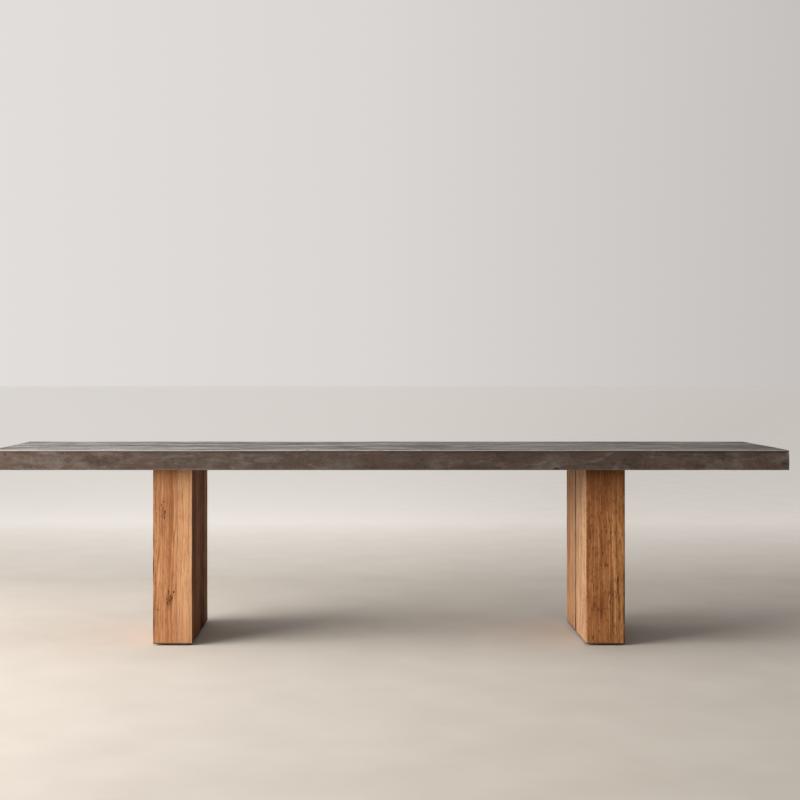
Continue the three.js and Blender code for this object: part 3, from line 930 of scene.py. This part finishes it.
def make_stave(side, node, leg_lo, leg_hi, seed, hollows):
    """One board of a leg, whose box is leg_lo to leg_hi."""
    lo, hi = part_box(node)
    near = 1 * MM
    front, back = lo.y < leg_lo.y + near, hi.y > leg_hi.y - near
    left, right = lo.x < leg_lo.x + near, hi.x > leg_hi.x - near
    open_side = OPEN_JOINT.get(node)
    corners = [(left, front, "front"), (right, front, "front"), (right, back, "back"), (left, back, "back")]
    radii = []
    for x_free, y_free, y_side in corners:
        seam = OPEN_EDGE if y_side == open_side else SEAM_EDGE
        radii.append(FREE_EDGE if x_free and y_free else seam)
    steps = [STAVE_FINE if free else STAVE_COARSE for free in (front, right, back, left)]
    section = stave_section(lo, hi, radii, steps)
    count = round((hi.z - lo.z) / STAVE_ROW)
    rows = [lo.z + (hi.z - lo.z) * i / count for i in range(1, count)]
    rows = [lo.z, lo.z + STAVE_EASE] + rows + [hi.z - STAVE_EASE, hi.z]
    bm = bmesh.new()
    bm.verts.layers.float.new("hollow")
    stain, wear, dirt_and_painted_shade = (bm.verts.layers.float.new(name) for name in ("stain", "wear", "dirt_and_painted_shade"))

    def mark(vert, place, way_x):
        """Says how stained, worn and grimy the stave is at a point, where it faces way_x in x."""
        x, y, z = place
        to_corner = sum(min(abs(place[a] - leg_lo[a]), abs(place[a] - leg_hi[a])) for a in (0, 1))
        # the left leg's inner arrises are rubbed pale, and dirt has settled along both legs' outer ones
        on_right = x > (leg_lo.x + leg_hi.x) / 2
        if on_right != (side == "left"):
            settled = clamped(0.7 + 1.1 * rippled(place, (1, 1, 0.04), seed + 4))
            vert[dirt_and_painted_shade] = clamped(1.6 - to_corner / (3 * MM)) * settled
        elif side == "left":
            vert[wear] = clamped(1.7 - to_corner / (2 * MM))
        # dirt in the open joint
        if open_side and abs(way_x) > 0.5 and (left or right):
            edge = lo.y if open_side == "front" else hi.y
            vert[dirt_and_painted_shade] = max(vert[dirt_and_painted_shade], min(1, 2.6 - abs(y - edge) / (4.5 * MM)))
        if front and y < lo.y + 3 * MM:
            for (stain_x, stain_z), (width, height), strength in STAINS[side]:
                off = math.hypot((x - stain_x) / (width * MM), (z - stain_z) / (height * MM)) / 1.5
                rough = 1 + 0.5 * rippled(place, (0.006, 0.006, 0.02), seed + 3)
                vert[stain] = max(vert[stain], max(0, 1 - off) * rough * strength)

    loops = []
    for z in rows:
        tucked = STAVE_EASE if z in (lo.z, hi.z) else 0
        loop = []
        for x, y, way_x, way_y in section:
            # only the leg's own outside has raised grain and is worn uneven
            free = max(0, -way_y) * front + max(0, way_y) * back
            free += max(0, -way_x) * left + max(0, way_x) * right
            place = Vector((x, y, z))
            grain = dips(place, (0.009, 0.009, 0.12), seed, 0.4)
            fibre = dips(place, (0.0035, 0.0035, 0.07), seed + 1, 0.22)
            sway = dips(place, (0.12, 0.12, 0.2), seed + 2, 0.5)
            in_by = min(1, free) * (grain + fibre + sway) + tucked
            vert = bm.verts.new((x - way_x * in_by, y - way_y * in_by, z))
            mark(vert, place, way_x)
            loop.append(vert)
        loops.append(loop)
    add_sides(bm, loops)
    bm.faces.new(list(reversed(loops[0])))
    bm.faces.new(loops[-1])
    mine = [(centre, size) for centre, size in hollows if near_box(*centre[:2], lo, hi, near)]
    if mine:
        refine(bm, mine, 2)
        scoop(bm, mine)
    material = teak(node.replace("_leg_", "_teak_"), STAVE_LOOKS[node], seed, lo.z, hi.z)
    piece = finished(f"{node}_board", bm, "bench", material, [node], STAVE_SHARP)
    cut_out(piece, leg_bores(side, node), STAVE_SHARP)


def leg_bores(side, stave):
    """The holes drilled in a leg that reach one stave: the screws' at its top and the feet's below.
    Those for the studs are with the screws', since no two of them touch."""
    screws, flanges, inserts = bmesh.new(), bmesh.new(), bmesh.new()
    stave_lo, stave_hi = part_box(stave)

    def bore(bm, node, radius, z0, z1, sides=40):
        x, y = axis_of(node)
        if near_box(x, y, stave_lo, stave_hi, radius):
            add_bar(bm, x, y, radius, z0, z1, sides)

    for i in range(1, 5):
        screw = f"{side}_lag_screw_{i}"
        lo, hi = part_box(screw)
        bore(screws, screw, SCREW_BORE, lo.z - 0.3 * MM, hi.z, sides=16)
    for end in ENDS:
        insert = f"{side}_{end}_foot_insert"
        lo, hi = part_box(insert)
        stud_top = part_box(f"{side}_{end}_foot_stud")[1].z
        below = lo.z - 12 * MM
        bore(flanges, insert, FLANGE_BORE, below, lo.z + 1.8 * MM)
        bore(inserts, insert, INSERT_BORE, below, hi.z + 0.3 * MM)
        bore(screws, insert, STUD_BORE, below, stud_top + 4 * MM)
    return [screws, flanges, inserts]


def leg_hollows():
    """The pits, nail hole and checks in each leg's front: (centre, radii) of each."""
    front = {side: box_round(leg_nodes(side))[0].y for side in SIDES}
    hollows = {"left": [], "right": []}
    pick = random.Random(12)

    def pit(side, x, z, size, tall):
        """A pit. size is half its width, in mm, and tall is how many times as high it is as wide."""
        size = size * MM
        hollows[side].append(((x, front[side], z), (size, size * 1.1, size * tall)))

    # an old nail hole and two pitted patches in the left leg
    pit("left", -0.533, 0.083, 1.9, 1.2)
    for _ in range(17):
        x, z = -0.507 + pick.gauss(0, 4) * MM, 0.106 + pick.gauss(0, 11) * MM
        pit("left", x, z, pick.uniform(0.8, 2.0), 1.6)
    for _ in range(17):
        x, z = -0.522 + pick.gauss(0, 3.5) * MM, 0.302 + pick.gauss(0, 20) * MM
        pit("left", x, z, pick.uniform(0.7, 1.5), 2.4)
    # a broken line of checks near its outer edge
    z = 0.03
    while z < 0.37:
        tall = pick.uniform(4, 13) * MM
        x = -0.5375 + 1.6 * MM * math.sin(z * 31) + pick.uniform(-0.5, 0.5) * MM
        hollows["left"].append(((x, front["left"], z), (0.75 * MM, 0.8 * MM, tall)))
        z += tall + pick.uniform(4, 16) * MM
    for x, z, tall in FORKED_CHECK:
        hollows["right"].append(((x, front["right"], z), (0.9 * MM, 1.8 * MM, tall * MM)))
    # scattered small pits, most of them in the right leg
    pit("right", 0.476, 0.113, 1.7, 1.3)
    pit("right", 0.4575, 0.141, 1.0, 2)
    for _ in range(8):
        x, z = 0.495 + pick.uniform(-5, 5) * MM, 0.082 + pick.uniform(-12, 12) * MM
        pit("right", x, z, pick.uniform(0.6, 1.3), 1.8)
    for _ in range(14):
        pit("right", pick.uniform(0.46, 0.54), pick.uniform(0.05, 0.38), pick.uniform(0.5, 0.9), 2)
        pit("left", pick.uniform(-0.54, -0.46), pick.uniform(0.03, 0.39), pick.uniform(0.5, 0.9), 2)
    return hollows


def make_legs():
    hollows = leg_hollows()
    for side in SIDES:
        nodes = leg_nodes(side)
        leg_lo, leg_hi = box_round(nodes)
        for n, node in enumerate(nodes):
            seed = n + 3 + 20 * SIDES.index(side)
            make_stave(side, node, leg_lo, leg_hi, seed, hollows[side])


# ---- panels, screws and feet ----

ROUND = 48  # points round a turned piece
PANEL_SHARP = 50  # degrees
TURNED_SHARP = 35
ACROSS_FLATS = 13 * MM  # of a foot stud's hexagon
KEY_SOCKET = 5 * MM  # across the flats of a bolt's socket
PITCH = 1.25 * MM
THREAD_DEPTH = 0.7 * MM


def circle(radius):
    return [radius] * ROUND


def hexagon(across_flats):
    """The distance from the middle to the edge of a hexagon, at each point round it."""
    turns = [(360 * i / ROUND + 30) % 60 - 30 for i in range(ROUND)]
    return [across_flats / 2 / math.cos(math.radians(turn)) for turn in turns]


def thread(z, radius):
    """A screw thread's outline at height z."""
    cut = [abs((z / PITCH - i / ROUND) % 1 * 2 - 1) for i in range(ROUND)]
    return [radius - THREAD_DEPTH * clamped(1.25 * c - 0.125) for c in cut]


def turned_piece(node, body, material, rings, closed=False):
    """A turned piece in place of a CAD node. A ring's height, in mm, is above the node's lowest point."""
    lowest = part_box(node)[0].z
    bm = bmesh.new()
    add_turned(bm, *axis_of(node), [(lowest + z * MM, radii) for z, radii in rings], closed)
    finished(f"{node}_turned", bm, body, material, [node], TURNED_SHARP)


def round_rings(*pairs):
    """Rings that are circles, from pairs of height and radius in mm."""
    return [(z, circle(radius * MM)) for z, radius in pairs]


def make_bolts(zinc):
    """Button-head bolts, head down, with a socket for a hexagon key."""
    socket = [(2.6, hexagon(KEY_SOCKET)), (0.25, hexagon(KEY_SOCKET)), (0, circle(3.3 * MM))]
    dome = round_rings(
        (0.22, 5.0), (0.85, 6.5), (1.75, 7.45), (2.8, 7.9), (3.4, 8.0), (3.85, 7.95), (4.0, 7.7)
    )
    shank = round_rings((4.0, 4.2), (4.3, 3.9), (28.0, 3.9), (29.0, 3.0))
    for side in SIDES:
        for i in range(1, 5):
            bolt = f"{side}_plate_bolt_{i}"
            turned_piece(bolt, "bench", zinc, socket + dome + shank)


def stud_rings():
    """A foot's stud from its ball up: a hexagon with eased corners, then a real thread."""
    ball = round_rings((0, 5.2), (0.3, 6.0), (1.2, 6.0), (1.5, 5.2), (1.5, 3.5), (3.1, 3.5))
    chamfer = hexagon(ACROSS_FLATS - 0.6 * MM)
    flats = [(3.1, circle(5.9 * MM)), (3.45, chamfer), (3.7, hexagon(ACROSS_FLATS))]
    flats += [(6.5, hexagon(ACROSS_FLATS)), (6.8, chamfer), (7.1, circle(5.9 * MM))]
    start, end, step = 7.5, 35.7, 0.25
    heights = [start + step * i for i in range(round((end - start) / step))]
    shank = [(7.1, circle(3.3 * MM))] + [(z, thread(z * MM, 3.9 * MM)) for z in heights]
    tip = round_rings((35.9, 3.2), (36.7, 2.6))
    return ball + flats + shank + tip


def make_feet(zinc, brass, black_nylon):
    """Levelling feet: a moulded base, a stud with a hexagon and a thread, and a flanged insert."""
    base = round_rings(
        (0.7, 2.6), (0.7, 3.6), (0.0, 4.4), (0.0, 8.6), (0.5, 9.1), (0.5, 10.4), (0.0, 10.9),
        (0.0, 13.2), (0.25, 14.2), (1.0, 14.9), (1.5, 15.0), (2.6, 15.0), (3.2, 14.75),
        (3.6, 14.3), (3.8, 13.6), (3.8, 4.9), (3.5, 4.6), (3.1, 4.6), (3.1, 6.6), (1.0, 6.6),
        (1.0, 5.0),
    )
    stud = stud_rings()
    insert = round_rings(
        (0.25, 4.3), (0, 4.6), (0, 8.2), (0.3, 8.5), (1.2, 8.5), (1.5, 8.2), (1.5, 6.0),
        (18.4, 6.0), (19.0, 5.6), (19.0, 4.6), (18.7, 4.3),
    )
    for side in SIDES:
        for end in ENDS:
            foot = f"{side}_{end}_foot"
            turned_piece(f"{foot}_base", foot, black_nylon, base)
            turned_piece(f"{foot}_stud", f"{side}_{end}_stud", zinc, stud)
            turned_piece(f"{foot}_insert", "bench", brass, insert, closed=True)


def make_panels(cement):
    """The boards that close the seat from below, with eased edges."""
    for node in nodes_called("underside_panel_"):
        lo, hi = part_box(node)
        bm = rounded_block(lo, hi, 1.1 * MM, (60 * MM, 60 * MM, 20 * MM))
        name = f"{node}_board"
        finished(name, bm, "bench", cement, [node], PANEL_SHARP)


def make_hardware():
    """The panels, bolts and feet, and the materials of the nodes that keep their CAD shapes."""
    zinc_tones = ((0.42, 0.42, 0.41), (0.62, 0.62, 0.60))
    brass_tones = ((0.38, 0.25, 0.10), (0.62, 0.45, 0.20))
    nylon_tones = ((0.008, 0.008, 0.009), (0.030, 0.030, 0.032))
    steel_tones = ((0.012, 0.012, 0.013), (0.030, 0.030, 0.031))
    zinc = metal("plated_steel", zinc_tones, 6 * MM, (0.28, 0.48))
    brass = metal("dull_brass", brass_tones, 5 * MM, (0.30, 0.50))
    black_nylon = dark_coat("black_nylon", nylon_tones, 0.7 * MM, 0.06, (0.45, 0.65))
    black_steel = dark_coat("black_steel", steel_tones, 1.1 * MM, 0.12, (0.38, 0.55))
    make_panels(fibre_cement())
    make_bolts(zinc)
    make_feet(zinc, brass, black_nylon)
    kept = {"foam_core": foam(), "mounting_plate": black_steel, "lag_screw": zinc, "top_insert": brass}
    for name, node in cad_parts.items():
        for part, material in kept.items():
            if part in name:
                node.data.materials.clear()
                node.data.materials.append(material)


bpy.context.scene.view_settings.view_transform = "Standard"
make_camera()
make_floor()
make_light()
make_slab()
make_legs()
make_hardware()
